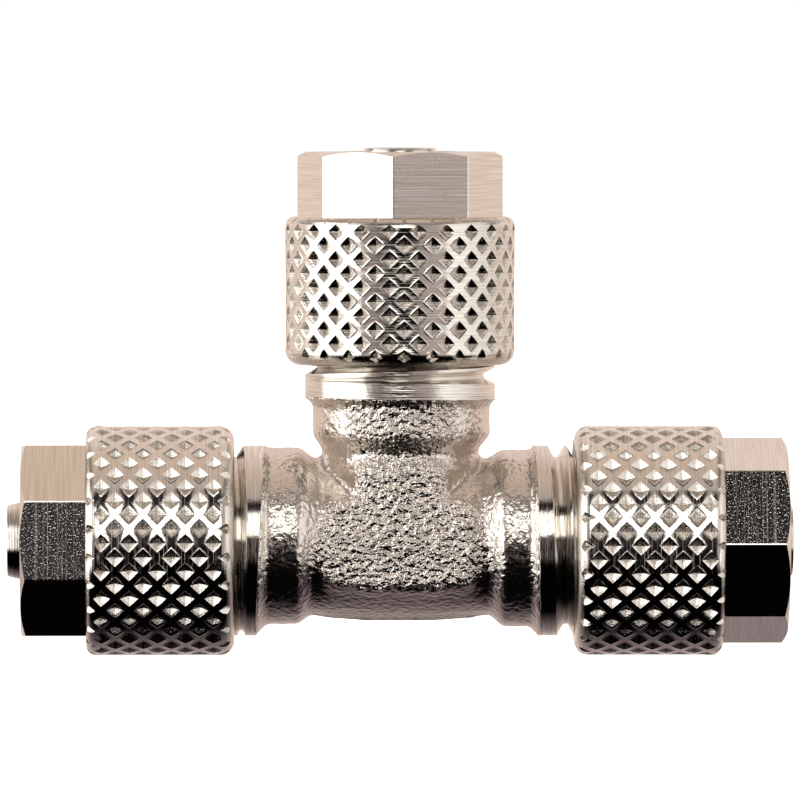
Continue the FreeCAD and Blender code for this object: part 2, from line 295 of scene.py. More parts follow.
# Turned brass under bright nickel: the lathe leaves fine rings round each axis, less than a tenth
# of a millimetre apart, with a deeper tool mark here and there. Flats are milled, so they sparkle,
# and the bottoms of the knurl's pits are rough from the roll.
def turned_nickel(name, light, dark, ring_height, flats_from, flats_grain):
    material = bpy.data.materials.new(name)
    material.use_nodes = True
    tree = material.node_tree
    place = add_node(tree, "ShaderNodeAttribute",
                     {"attribute_name": "turned_place"}).outputs["Vector"]
    along = add_node(tree, "ShaderNodeSeparateXYZ", {}, Vector=place).outputs["Z"]
    pit = add_node(tree, "ShaderNodeAttribute", {"attribute_name": "pit"}).outputs["Fac"]
    rings = add_node(tree, "ShaderNodeTexNoise", {}, Scale=1.0, Detail=3.0,
                     Vector=add_node(tree, "ShaderNodeMapping", {}, Vector=place,
                                     Scale=(0.3, 0.3, 14.0)))
    marks = add_node(tree, "ShaderNodeTexNoise", {"noise_dimensions": "1D"}, W=along, Scale=7.0,
                     Detail=4.0, Roughness=0.6)
    lines = add_node(tree, "ShaderNodeMapRange", {}, Value=marks, From_Min=0.60, From_Max=0.66)
    grain = add_node(tree, "ShaderNodeTexNoise", {}, Vector=place, Scale=17.0, Detail=1.0)
    chatter = add_node(tree, "ShaderNodeTexNoise", {}, Vector=place, Scale=13.0, Detail=0.5)
    sparks = add_node(tree, "ShaderNodeMapRange", {}, Value=chatter, From_Min=0.61, From_Max=0.74)
    on_flats = add_node(tree, "ShaderNodeMapRange", {}, Value=along, From_Min=flats_from,
                        From_Max=flats_from + 0.05, To_Max=flats_grain)
    milled = add_node(tree, "ShaderNodeMath", {"operation": "MULTIPLY"}, at_0=sparks,
                      at_1=on_flats)
    depth = add_node(tree, "ShaderNodeMapRange", {}, Value=pit, From_Max=0.15, To_Min=0.1,
                     To_Max=0.75)
    grainy = add_node(tree, "ShaderNodeMath", {"operation": "MULTIPLY_ADD"}, at_0=grain,
                      at_1=depth, at_2=milled)
    ringed = add_node(tree, "ShaderNodeMath", {"operation": "MULTIPLY_ADD"}, at_0=rings,
                      at_1=ring_height, at_2=grainy)
    height = add_node(tree, "ShaderNodeMath", {"operation": "MULTIPLY_ADD"}, at_0=lines, at_1=-0.12,
                      at_2=ringed)
    bump = add_node(tree, "ShaderNodeBump", {}, Strength=1.0, Distance=0.00002, Height=height)
    shaded = add_node(tree, "ShaderNodeMapRange", {}, Value=rings, From_Min=0.35, From_Max=0.65)
    plain = add_node(tree, "ShaderNodeMix", {"data_type": "RGBA"}, at_0=shaded, at_6=linear(light),
                     at_7=linear(dark))
    tone = add_node(tree, "ShaderNodeMix", {"data_type": "RGBA"}, at_0=pit, at_6=plain.outputs[2],
                    at_7=linear("#DDD6CC"))
    rough = add_node(tree, "ShaderNodeMapRange", {}, Value=rings, To_Min=0.05, To_Max=0.13)
    tree.nodes.remove(tree.nodes["Principled BSDF"])
    metal = add_node(tree, "ShaderNodeBsdfPrincipled", {}, Metallic=1.0, Base_Color=tone.outputs[2],
                     Roughness=rough, Normal=bump)
    tree.links.new(metal.outputs[0], tree.nodes["Material Output"].inputs["Surface"])
    return material


FORGED, TURNED = 0, 1
NO_FLATS = 100.0
tee_finishes = (
    forged_nickel(),
    turned_nickel("nickel_on_turned_arms", "#F0ECE6", "#CEC8C0", ring_height=1.1,
                  flats_from=NO_FLATS, flats_grain=0.0),
)

points, quads = net_over_skin(NET_LOW, NET_HIGH, SKIN_CELL)
for _ in range(2):
    depth = forged_skin(points)
    slope = np.stack([(forged_skin(points + shift) - depth) / SLOPE_STEP
                      for shift in np.eye(3) * SLOPE_STEP], 1)
    points -= slope * (depth / np.maximum((slope ** 2).sum(1), 0.3))[:, None]
outward = slope / np.maximum(np.linalg.norm(slope, axis=1), 1e-6)[:, None]
under_collar = np.maximum(np.abs(points[:, 0]), points[:, 2]) > BUMPS_END
for cell, height, seed in SKIN_BUMPS:
    bumps = height * random_heights(points + 100, cell, seed)
    on_flat = smooth_step(np.abs(points[:, 1]), *STRUCK_OVER_Y)
    on_flat *= 1 - smooth_step(np.abs(points[:, 0]), *STRUCK_UP_TO_X)
    struck = BUMPS_OFF_FLATS + (1 - BUMPS_OFF_FLATS) * on_flat
    points += outward * np.where(under_collar, 0, bumps * struck)[:, None]
tee = solid_object("tee", points, quads, tee_finishes, FORGED)


# ---------------------------------------------------------------- turned arms with their threads
# After forging, each arm is turned to a collar, a blank for the M10 x 1 thread and a slim spigot
# with a crest that the tube is pushed over. The thread is cut last and runs out against the collar.
# All three are the same metal as the middle, so the four make one piece.
ROUND = 96
COLLAR_R = 5.0
STUB_END = 14.5
STEM_R = 1.95
TIP_R = 1.9
TIP = 20.65
CREST_R = 2.25
BORE_R = 1.35
PITCH = 1.0
FLANK = 0.57735
MALE_ROOT_R = 4.4
MALE_ROOT_WIDTH = 0.2
MALE_TURNS = 7.0
RUN_OUT_SHIFT = 0.3
PAST_SURFACE = 0.05
COLLAR_START = 7.1
EDGE_WANDER = 0.02
BURR = 0.10
BURR_WIDTH = 0.12
BURR_SPREAD = 0.2
# from the middle outwards: distance along the arm, radius
ARM_OUTLINE = (
    (3.0, 0.0), (3.0, 3.0), (6.4, 4.2), (COLLAR_START, 4.45), (COLLAR_START, COLLAR_R - 0.03),
    (7.13, COLLAR_R), (7.6, COLLAR_R), (STUB_END - 0.6, COLLAR_R), (STUB_END, COLLAR_R - 0.6),
    (STUB_END, STEM_R + 0.4), (STUB_END + 0.12, STEM_R + 0.12), (STUB_END + 0.4, STEM_R),
    (17.6, STEM_R), (18.0, CREST_R - 0.05), (18.05, CREST_R), (19.0, CREST_R), (20.53, TIP_R),
    (20.62, TIP_R - 0.05), (TIP, TIP_R - 0.12), (TIP, 0.0),
)
FLARE_FOOT_ROW = 3
COLLAR_ROWS = (4, 5)
OUT_OF_AXIS = {
    "right": Matrix.Rotation(math.radians(90), 4, "Y"),
    "left": Matrix.Rotation(math.radians(-90), 4, "Y"),
    "branch": Matrix.Identity(4),
}
THREAD_START = {"right": 180.0, "left": 290.0, "branch": 0.0}
RUN_OUT_TURNS = {"right": 0.5, "left": 0.6, "branch": 0.5}
FIRST_GROOVE = {"right": 7.7, "left": 7.7, "branch": 8.7}


def turned_solid(outline, steps=ROUND):
    """Points and faces of a closed solid turned about +Z from (z, r) points, axis to axis."""
    angles = np.arange(steps) * 2 * math.pi / steps
    points = [(0.0, 0.0, outline[0][0])]
    for z, r in outline[1:-1]:
        points += [(r * math.cos(a), r * math.sin(a), z) for a in angles]
    points.append((0.0, 0.0, outline[-1][0]))
    faces = []
    last_row = len(outline) - 3
    for s in range(steps):
        t = (s + 1) % steps
        faces.append((0, 1 + t, 1 + s))
        for row in range(last_row):
            a, b = 1 + row * steps, 1 + (row + 1) * steps
            faces.append((a + s, a + t, b + t, b + s))
        faces.append((len(points) - 1, 1 + last_row * steps + s, 1 + last_row * steps + t))
    return np.array(points), faces


def combine(solid, tool, operation):
    """Joins or cuts one closed solid with another, which is used up."""
    step = solid.modifiers.new("step", "BOOLEAN")
    step.object = tool
    step.operation = operation
    step.solver = "MANIFOLD"
    graph = bpy.context.evaluated_depsgraph_get()
    made = bpy.data.meshes.new_from_object(solid.evaluated_get(graph))
    solid.modifiers.clear()
    solid.data = made
    bpy.data.objects.remove(tool)


# The thread's tooth space, swept along its helix. A right-handed thread climbs as it turns
# anticlockwise. Its depth fades over the run-out, where the die is backed off.
def tooth_space_tree():
    tree = bpy.data.node_groups.new("tooth_space", "GeometryNodeTree")
    face = tree.interface
    face.new_socket("Geometry", in_out="OUTPUT", socket_type="NodeSocketGeometry")
    for name in ("Opening Radius", "Depth", "Opening Width", "Root Width", "Pitch", "Turns",
                 "Run-out Turns", "Run-out Shift", "Start Height", "Start Angle"):
        face.new_socket(name, in_out="INPUT", socket_type="NodeSocketFloat")
    face.new_socket("Steps", in_out="INPUT", socket_type="NodeSocketInt")
    face.new_socket("Finish", in_out="INPUT", socket_type="NodeSocketMaterial")
    given = tree.nodes.new("NodeGroupInput").outputs
    climb = add_node(tree, "ShaderNodeMath", {"operation": "MULTIPLY"}, at_0=given["Pitch"],
                     at_1=given["Turns"])
    helix = add_node(tree, "GeometryNodeCurveSpiral", {}, Resolution=given["Steps"],
                     Rotations=given["Turns"], Start_Radius=given["Opening Radius"],
                     End_Radius=given["Opening Radius"], Height=climb, Reverse=True)
    turn = add_node(tree, "ShaderNodeCombineXYZ", {}, Z=given["Start Angle"])
    lift = add_node(tree, "ShaderNodeCombineXYZ", {}, Z=given["Start Height"])
    placed = add_node(tree, "GeometryNodeTransform", {}, Geometry=helix, Translation=lift,
                      Rotation=turn)
    fade = add_node(tree, "ShaderNodeMath", {"operation": "DIVIDE"}, at_0=given["Run-out Turns"],
                    at_1=given["Turns"])
    size = add_node(tree, "ShaderNodeMapRange", {}, From_Max=fade, To_Min=0.03, To_Max=1.0,
                    Value=add_node(tree, "GeometryNodeSplineParameter").outputs["Factor"])
    slack = add_node(tree, "ShaderNodeMath", {"operation": "SUBTRACT"}, at_0=1.0, at_1=size)
    drift = add_node(tree, "ShaderNodeMath", {"operation": "MULTIPLY"}, at_0=slack,
                     at_1=given["Run-out Shift"])
    drifted = add_node(tree, "GeometryNodeSetPosition", {}, Geometry=placed,
                       Offset=add_node(tree, "ShaderNodeCombineXYZ", {}, Z=drift))
    upright = add_node(tree, "GeometryNodeSetCurveNormal", {"mode": "Z_UP"}, Curve=drifted)
    corners = []
    for width, depth, side in (("Opening Width", 0.0, 0.5), ("Root Width", -1.0, 0.5),
                               ("Root Width", -1.0, -0.5), ("Opening Width", 0.0, -0.5)):
        half = add_node(tree, "ShaderNodeMath", {"operation": "MULTIPLY"}, at_0=given[width],
                        at_1=side)
        deep = add_node(tree, "ShaderNodeMath", {"operation": "MULTIPLY"}, at_0=given["Depth"],
                        at_1=depth)
        corners.append(add_node(tree, "ShaderNodeCombineXYZ", {}, X=deep, Y=half))
    tooth = add_node(tree, "GeometryNodeCurvePrimitiveQuadrilateral", {"mode": "POINTS"},
                     Point_1=corners[0], Point_2=corners[1], Point_3=corners[2],
                     Point_4=corners[3])
    swept = add_node(tree, "GeometryNodeCurveToMesh", {}, Curve=upright, Profile_Curve=tooth,
                     Scale=size, Fill_Caps=True)
    real = add_node(tree, "GeometryNodeRealizeInstances", {}, Geometry=swept)
    add_node(tree, "NodeGroupOutput", {}, Geometry=add_node(
        tree, "GeometryNodeSetMaterial", {}, Geometry=real, Material=given["Finish"]))
    return tree


def grown(name, tree, sizes):
    """A plain object from a Geometry Nodes tree, its inputs set before it is first evaluated."""
    made = bpy.data.objects.new(name, bpy.data.meshes.new(name))
    bpy.context.collection.objects.link(made)
    growth = made.modifiers.new("growth", "NODES")
    growth.node_group = tree
    for item in tree.interface.items_tree:
        if item.item_type == "SOCKET" and item.in_out == "INPUT":
            growth[item.identifier] = sizes[item.name]
    graph = bpy.context.evaluated_depsgraph_get()
    mesh = bpy.data.meshes.new_from_object(made.evaluated_get(graph))
    made.modifiers.clear()
    made.data = mesh
    return made


tooth_space = tooth_space_tree()


def male_thread(side):
    depth = COLLAR_R + PAST_SURFACE - MALE_ROOT_R
    angle = THREAD_START[side] - 360 * RUN_OUT_TURNS[side]
    return grown("thread_" + side, tooth_space, {
        "Opening Radius": COLLAR_R + PAST_SURFACE, "Depth": depth,
        "Opening Width": MALE_ROOT_WIDTH + 2 * depth * FLANK, "Root Width": MALE_ROOT_WIDTH,
        "Pitch": PITCH, "Turns": MALE_TURNS, "Run-out Turns": RUN_OUT_TURNS[side],
        "Run-out Shift": RUN_OUT_SHIFT, "Start Height": FIRST_GROOVE[side] + angle / 360 * PITCH,
        "Start Angle": math.radians(angle), "Steps": ROUND, "Finish": tee_finishes[TURNED],
    })


def turned_arm(side):
    """One arm with its collar cut back to where the forging's flare meets it, slightly burred."""
    points, faces = turned_solid(ARM_OUTLINE)
    world = OUT_OF_AXIS[side].to_3x3()
    rng = np.random.default_rng({"left": 3, "right": 4, "branch": 5}[side])
    wander = np.repeat(rng.uniform(-1, 1, ROUND // 2), 2) * EDGE_WANDER
    wander = wander + rng.uniform(-1, 1, ROUND) * EDGE_WANDER
    for s in range(ROUND):
        a = s * 2 * math.pi / ROUND
        out = world @ Vector((math.cos(a), math.sin(a), 0))
        nearer = out.dot(Vector(HUB_SHIFT[side]))
        edge = FLARE_FROM[side] + (COLLAR_R - HUB_R - nearer) / FLARE_SLOPE + wander[s]
        burr = BURR * math.exp(-(out[1] / BURR_WIDTH) ** 2)
        for row in COLLAR_ROWS:
            place = 1 + (row - 1) * ROUND + s
            points[place, 2] += edge - COLLAR_START - burr
            points[place, :2] *= 1 + BURR_SPREAD * burr / COLLAR_R
        inner = 1 + (FLARE_FOOT_ROW - 1) * ROUND + s
        points[inner, 2] += edge - COLLAR_START
    arm = solid_object("arm_" + side, points, faces, tee_finishes, TURNED)
    arm.data.update()
    return arm


for side in ("left", "right", "branch"):
    arm = turned_arm(side)
    combine(arm, male_thread(side), "DIFFERENCE")
    arm.data.transform(OUT_OF_AXIS[side])
    combine(tee, arm, "UNION")
for side, outline in (("right", ((-22, 0), (-22, BORE_R), (22, BORE_R), (22, 0))),
                      ("branch", ((0, 0), (0, BORE_R), (22, BORE_R), (22, 0)))):
    drill = solid_object("drill", *turned_solid(outline, 48), tee_finishes, TURNED)
    drill.data.transform(OUT_OF_AXIS[side])
    combine(tee, drill, "DIFFERENCE")


def finish_piece(piece, crease):
    """Metres, doubled points merged, and smooth faces with edges sharper than crease degrees."""
    piece.data.transform(Matrix.Scale(MM, 4))
    mesh = bmesh.new()
    mesh.from_mesh(piece.data)
    bmesh.ops.remove_doubles(mesh, verts=mesh.verts, dist=1e-7)
    mesh.to_mesh(piece.data)
    mesh.free()
    piece.data.shade_smooth()
    piece.data.set_sharp_from_angle(angle=math.radians(crease))


def store_turned_place(mesh, place, pits):
    """Where each point sits on its own lathe axis in mm, and how deep in a knurl's pit."""
    mesh.attributes.new("turned_place", "FLOAT_VECTOR", "POINT").data.foreach_set(
        "vector", np.asarray(place, np.float32).ravel())
    mesh.attributes.new("pit", "FLOAT", "POINT").data.foreach_set(
        "value", np.asarray(pits, np.float32))


def points_of(mesh):
    flat = np.empty(len(mesh.vertices) * 3)
    mesh.vertices.foreach_get("co", flat)
    return flat.reshape(-1, 3)


tee.name = "tee_forging"
finish_piece(tee, 32)
here = points_of(tee.data) / MM
on_branch = here[:, 2] > np.abs(here[:, 0])
place = np.where(on_branch[:, None], here, here[:, (2, 1, 0)])
store_turned_place(tee.data, place, np.zeros(len(here)))
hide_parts("tee_body")
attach(tee, "tee")


# ---------------------------------------------------------------- union nuts
# Each nut is turned from brass bar and nickel plated: a barrel rolled with a diamond knurl, then an
# octagon for a 10 mm spanner, an M10 x 1 thread inside and a hole that the tube passes. The knurl
# presses four-sided pits and raises a small lip round each.
PITS_ROUND = 25
RING_STEP = 0.733
KNURL_R = 6.0
PIT_DEPTH = 0.28
FIRST_RING = {"left": 0.365, "right": 0.395, "branch": 0.48}
KNURL_TURN = {"left": -98.6, "right": -261.5, "branch": -286.8}
SEED = {"left": 21, "right": 22, "branch": 23}
NUT_LENGTH = 11.2
KNURL_LENGTH = 7.80
INNER_EDGE_R = 0.80
OUTER_EDGE_R = 0.55
FLAT_R = 5.0
BROKEN_R = 0.12
BESIDE_CORNER = 0.03
OCTAGON_FROM = 4.0
# from a pit's rim to its bottom: share of the diamond's size, height
RINGS_OF_PIT = ((1.0, 0.0), (0.80, 0.0), (0.72, 0.006), (0.64, 0.020), (0.585, 0.0), (0.31, -0.15))
RINGS = 15
RINGS_BEFORE_BARREL = 2
END_LIFT = 0.06
END_ZONE = 0.9
END_DEEPENING = 0.9
SHALLOWEST = 0.86
BAR_OVERHANG = 3.0
LIP_ROOM = 0.04
MERGE_WITHIN = 0.002
NUT_HOME = 8.7
NUT_TURN = {"left": 2.5, "right": 157.5, "branch": 198.0}


def pit_tile():
    """One diamond of the knurl, its pit in the middle, edge to edge with its neighbours."""
    pitch = 2 * math.pi * KNURL_R / PITS_ROUND
    half_wide, half_high = pitch / 2, RING_STEP
    rim = [(1, 0), (0.5, 0.5), (0, 1), (-0.5, 0.5), (-1, 0), (-0.5, -0.5), (0, -1), (0.5, -0.5)]
    points = []
    for share, height in RINGS_OF_PIT:
        for i, (u, v) in enumerate(rim):
            bow = 1.0 if share == 1.0 or i % 2 == 0 else 1.05
            points.append((u * half_wide * share * bow, v * half_high * share * bow, height))
    points.append((0, 0, -PIT_DEPTH))
    faces = []
    for ring in range(len(RINGS_OF_PIT) - 1):
        a, b = ring * 8, (ring + 1) * 8
        faces += [(a + i, a + (i + 1) % 8, b + (i + 1) % 8, b + i) for i in range(8)]
    inner = (len(RINGS_OF_PIT) - 1) * 8
    faces += [(inner + i, inner + (i + 1) % 8, len(points) - 1) for i in range(8)]
    mesh = bpy.data.meshes.new("pit")
    mesh.from_pydata(points, [], faces)
    tile = bpy.data.objects.new("pit", mesh)
    bpy.context.collection.objects.link(tile)
    return tile


def knurl_tree():
    """Rows of pits laid edge to edge, each row half a pit round from the last, then wrapped."""
    tree = bpy.data.node_groups.new("knurl", "GeometryNodeTree")
    face = tree.interface
    face.new_socket("Geometry", in_out="OUTPUT", socket_type="NodeSocketGeometry")
    face.new_socket("Pit", in_out="INPUT", socket_type="NodeSocketObject")
    for name in ("Pits Round", "Rings", "Seed"):
        face.new_socket(name, in_out="INPUT", socket_type="NodeSocketInt")
    for name in ("Radius", "Ring Step", "First Ring", "Knurl Length", "End Lift", "End Zone",
                 "End Deepening", "Turn", "Shallowest"):
        face.new_socket(name, in_out="INPUT", socket_type="NodeSocketFloat")
    face.new_socket("Finish", in_out="INPUT", socket_type="NodeSocketMaterial")
    given = tree.nodes.new("NodeGroupInput").outputs

    index = add_node(tree, "GeometryNodeInputIndex")
    ring = add_node(tree, "ShaderNodeMath", {"operation": "MODULO"}, at_0=index,
                    at_1=given["Rings"])
    turns = add_node(tree, "ShaderNodeMath", {"operation": "DIVIDE"}, at_0=index,
                     at_1=given["Rings"])
    column = add_node(tree, "ShaderNodeMath", {"operation": "FLOOR"}, at_0=turns)
    around = add_node(tree, "ShaderNodeMath", {"operation": "MULTIPLY"}, at_0=given["Radius"],
                      at_1=2 * math.pi)
    pitch = add_node(tree, "ShaderNodeMath", {"operation": "DIVIDE"}, at_0=around,
                     at_1=given["Pits Round"])
    odd = add_node(tree, "ShaderNodeMath", {"operation": "MODULO"}, at_0=ring, at_1=2.0)
    shifted = add_node(tree, "ShaderNodeMath", {"operation": "MULTIPLY_ADD"}, at_0=odd, at_1=0.5,
                       at_2=column)
    laid = add_node(tree, "ShaderNodeCombineXYZ", {},
                    X=add_node(tree, "ShaderNodeMath", {"operation": "MULTIPLY"}, at_0=shifted,
                               at_1=pitch),
                    Y=add_node(tree, "ShaderNodeMath", {"operation": "MULTIPLY_ADD"}, at_0=ring,
                               at_1=given["Ring Step"], at_2=given["First Ring"]))
    count = add_node(tree, "ShaderNodeMath", {"operation": "MULTIPLY"}, at_0=given["Pits Round"],
                     at_1=given["Rings"])
    spots = add_node(tree, "GeometryNodePoints", {}, Count=count, Position=laid)
    pit = add_node(tree, "GeometryNodeObjectInfo", {}, Object=given["Pit"]).outputs["Geometry"]
    depth = add_node(tree, "FunctionNodeRandomValue", {"data_type": "FLOAT"},
                     at_2=given["Shallowest"], at_3=1.0, Seed=given["Seed"]).outputs[1]
    rows = add_node(tree, "GeometryNodeInstanceOnPoints", {}, Points=spots, Instance=pit,
                    Scale=add_node(tree, "ShaderNodeCombineXYZ", {}, X=1.0, Y=1.0, Z=depth))
    real = add_node(tree, "GeometryNodeRealizeInstances", {}, Geometry=rows)
    flat = add_node(tree, "ShaderNodeSeparateXYZ", {},
                    Vector=add_node(tree, "GeometryNodeInputPosition")).outputs
    swing = add_node(tree, "ShaderNodeMath", {"operation": "DIVIDE"}, at_0=flat["X"],
                     at_1=given["Radius"])
    angle = add_node(tree, "ShaderNodeMath", {"operation": "ADD"}, at_0=swing, at_1=given["Turn"])
    to_high = add_node(tree, "ShaderNodeMath", {"operation": "SUBTRACT"},
                       at_0=given["Knurl Length"], at_1=flat["Y"])
    to_end = add_node(tree, "ShaderNodeMath", {"operation": "MINIMUM"}, at_0=flat["Y"],
                      at_1=to_high)
    near_end = add_node(tree, "ShaderNodeMapRange", {}, Value=to_end, From_Min=given["End Zone"],
                        From_Max=0.0)
    ease = add_node(tree, "ShaderNodeMapRange", {}, Value=near_end, From_Max=0.4,
                    To_Max=given["End Lift"])
    deeper = add_node(tree, "ShaderNodeMath", {"operation": "MULTIPLY_ADD"}, at_0=near_end,
                      at_1=given["End Deepening"], at_2=1.0)
    pressed = add_node(tree, "ShaderNodeMath", {"operation": "MULTIPLY_ADD"}, at_0=flat["Z"],
                       at_1=deeper, at_2=given["Radius"])
    radius = add_node(tree, "ShaderNodeMath", {"operation": "ADD"}, at_0=pressed, at_1=ease)
    across = add_node(tree, "ShaderNodeMath", {"operation": "COSINE"}, at_0=angle)
    away = add_node(tree, "ShaderNodeMath", {"operation": "SINE"}, at_0=angle)
    wrapped = add_node(tree, "ShaderNodeCombineXYZ", {}, Z=flat["Y"],
                       X=add_node(tree, "ShaderNodeMath", {"operation": "MULTIPLY"}, at_0=radius,
                                  at_1=across),
                       Y=add_node(tree, "ShaderNodeMath", {"operation": "MULTIPLY"}, at_0=radius,
                                  at_1=away))
    bent = add_node(tree, "GeometryNodeSetPosition", {}, Geometry=real, Position=wrapped)
    sealed = add_node(tree, "GeometryNodeMergeByDistance", {}, Geometry=bent,
                      Distance=MERGE_WITHIN)
    add_node(tree, "NodeGroupOutput", {}, Geometry=add_node(
        tree, "GeometryNodeSetMaterial", {}, Geometry=sealed, Material=given["Finish"]))
    return tree


nut_finish = turned_nickel("nickel_on_turned_nut", "#EEEAE4", "#DAD5CD", ring_height=0.5,
                           flats_from=KNURL_LENGTH, flats_grain=0.11)
pit = pit_tile()
knurl = knurl_tree()


def knurled_bar(side):
    """The knurl on a solid bar a little longer than the barrel on both ends."""
    bar = grown("nut", knurl, {
        "Pit": pit, "Pits Round": PITS_ROUND, "Rings": RINGS, "Seed": SEED[side],
        "Radius": KNURL_R, "Ring Step": RING_STEP,
        "First Ring": FIRST_RING[side] - RINGS_BEFORE_BARREL * RING_STEP,
        "Knurl Length": KNURL_LENGTH, "End Lift": END_LIFT, "End Zone": END_ZONE,
        "End Deepening": END_DEEPENING, "Turn": math.radians(KNURL_TURN[side]),
        "Shallowest": SHALLOWEST, "Finish": nut_finish,
    })
    mesh = bmesh.new()
    mesh.from_mesh(bar.data)
    open_edges = [e for e in mesh.edges if e.is_boundary]
    made = bmesh.ops.extrude_edge_only(mesh, edges=open_edges)["geom"]
    for v in (g for g in made if isinstance(g, bmesh.types.BMVert)):
        at_low_end = v.co.z < KNURL_LENGTH / 2
        v.co = (0, 0, -BAR_OVERHANG if at_low_end else KNURL_LENGTH + BAR_OVERHANG)
    bmesh.ops.remove_doubles(mesh, verts=mesh.verts, dist=MERGE_WITHIN)
    bmesh.ops.recalc_face_normals(mesh, faces=mesh.faces)
    mesh.to_mesh(bar.data)
    mesh.free()
    return bar


def barrel_outline():
    """The barrel's profile, its two edges rounded by the turning tool."""
    wall = KNURL_R + LIP_ROOM
    steps = 7
    leans = [math.radians(90 * i / steps) for i in range(steps + 1)]
    low = [(INNER_EDGE_R * (1 - math.sin(a)), wall - INNER_EDGE_R * (1 - math.cos(a)))
           for a in leans[::-1]]
    high = [(KNURL_LENGTH - OUTER_EDGE_R * (1 - math.sin(a)),
             wall - OUTER_EDGE_R * (1 - math.cos(a))) for a in leans]
    return [(0.0, 0.0)] + low + high + [(KNURL_LENGTH, 0.0)]


def octagon_bar():
    """Eight milled flats with slightly broken corners. A line of points on each flat beside its
    corner keeps the flat's shading flat."""
    lean = math.radians(22.5)
    corners = []
    for i in range(8):
        middle = math.radians(45 * i) + lean
        centre = np.array([math.cos(middle), math.sin(middle)])
        centre = centre * (FLAT_R - BROKEN_R) / math.cos(lean)
        for side, back in ((-lean, BESIDE_CORNER), (-lean, 0), (0, 0), (lean, 0),
                           (lean, -BESIDE_CORNER)):
            out = np.array([math.cos(middle + side), math.sin(middle + side)])
            corners.append(centre + BROKEN_R * out + back * np.array([out[1], -out[0]]))
    count = len(corners)
    points = [(x, y, z) for z in (OCTAGON_FROM, NUT_LENGTH) for x, y in corners]
    faces = [tuple(range(count))[::-1], tuple(range(count, 2 * count))]
    faces += [(i, (i + 1) % count, count + (i + 1) % count, count + i) for i in range(count)]
    return solid_object("octagon", points, faces, [nut_finish])


CORNER_CUT_R = 4.98
CLEAR_R = 6.2
CORNER_CUT = ((3.0, 0.0), (3.0, CLEAR_R), (NUT_LENGTH - (CLEAR_R - CORNER_CUT_R) * FLANK, CLEAR_R),
              (NUT_LENGTH, CORNER_CUT_R), (NUT_LENGTH, 0.0))
# from the inner face outwards, as distance and radius: entry, thread, relief, cone, tube hole
HOLLOW = ((-1.0, 0.0), (-1.0, 5.35), (0.0, 5.35), (0.2, 5.15), (0.8, 5.15), (1.45, 4.5),
          (6.6, 4.5), (7.2, 5.1), (7.5, 5.1), (7.5, 4.5), (8.95, 3.05), (10.9, 3.05),
          (11.2, 3.35), (12.0, 3.35), (12.0, 0.0))
FEMALE_ROOT_R = 5.08
FEMALE_OPEN_R = 4.45
FEMALE_ROOT_WIDTH = 0.15
FEMALE_TURNS = 7.5
FEMALE_START = -0.5
NO_RUN_OUT = 0.01
INSIDE_PITS_R = 5.5
FACE_MARGIN = 0.02
PITS_BEGIN = 0.03


def female_thread():
    """The same tooth space cut outwards, which turns its faces round, so they are turned back."""
    depth = FEMALE_ROOT_R - FEMALE_OPEN_R
    thread = grown("nut_thread", tooth_space, {
        "Opening Radius": FEMALE_OPEN_R, "Depth": -depth,
        "Opening Width": FEMALE_ROOT_WIDTH + 2 * depth * FLANK, "Root Width": FEMALE_ROOT_WIDTH,
        "Pitch": PITCH, "Turns": FEMALE_TURNS, "Run-out Turns": NO_RUN_OUT, "Run-out Shift": 0.0,
        "Start Height": FEMALE_START, "Start Angle": 0.0, "Steps": ROUND, "Finish": nut_finish,
    })
    thread.data.flip_normals()
    return thread


def union_nut(side):
    """One nut, run home on its arm with its flats turned as that nut's are."""
    nut = knurled_bar(side)
    barrel = solid_object("barrel", *turned_solid(barrel_outline()), [nut_finish])
    combine(nut, barrel, "INTERSECT")
    octagon = octagon_bar()
    corner_cut = solid_object("corner_cut", *turned_solid(CORNER_CUT), [nut_finish])
    combine(octagon, corner_cut, "INTERSECT")
    combine(nut, octagon, "UNION")
    hollow = solid_object("hollow", *turned_solid(HOLLOW), [nut_finish])
    combine(hollow, female_thread(), "UNION")
    combine(nut, hollow, "DIFFERENCE")
    nut.name = side + "_union_nut"
    finish_piece(nut, 20)
    here = points_of(nut.data) / MM
    radius = np.hypot(here[:, 0], here[:, 1])
    off_inner_face = here[:, 2] > FACE_MARGIN
    off_outer_face = here[:, 2] < KNURL_LENGTH - FACE_MARGIN
    on_knurl = (radius > INSIDE_PITS_R) & off_inner_face & off_outer_face
    pits = np.where(on_knurl, np.clip((KNURL_R - PITS_BEGIN - radius) / PIT_DEPTH, 0, 1), 0)
    store_turned_place(nut.data, here, pits)
    turn = Matrix.Rotation(math.radians(NUT_TURN[side]), 4, "Z")
    home = Matrix.Translation((0, 0, (NUT_HOME + NUT_TURN[side] / 360 * PITCH) * MM))
    nut.data.transform(OUT_OF_AXIS[side] @ home @ turn)
    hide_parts(side + "_nut")
    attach(nut, side + "_nut")


for side in ("left", "right", "branch"):
    union_nut(side)
bpy.data.objects.remove(pit)


# ---------------------------------------------------------------- floor, light and camera
# A plain white table top, and a studio that the metal mirrors as bands of light and dark panels.
# The camera itself sees plain white in place of the bands, and the metal doesn't mirror the table.
low, high = cad_box


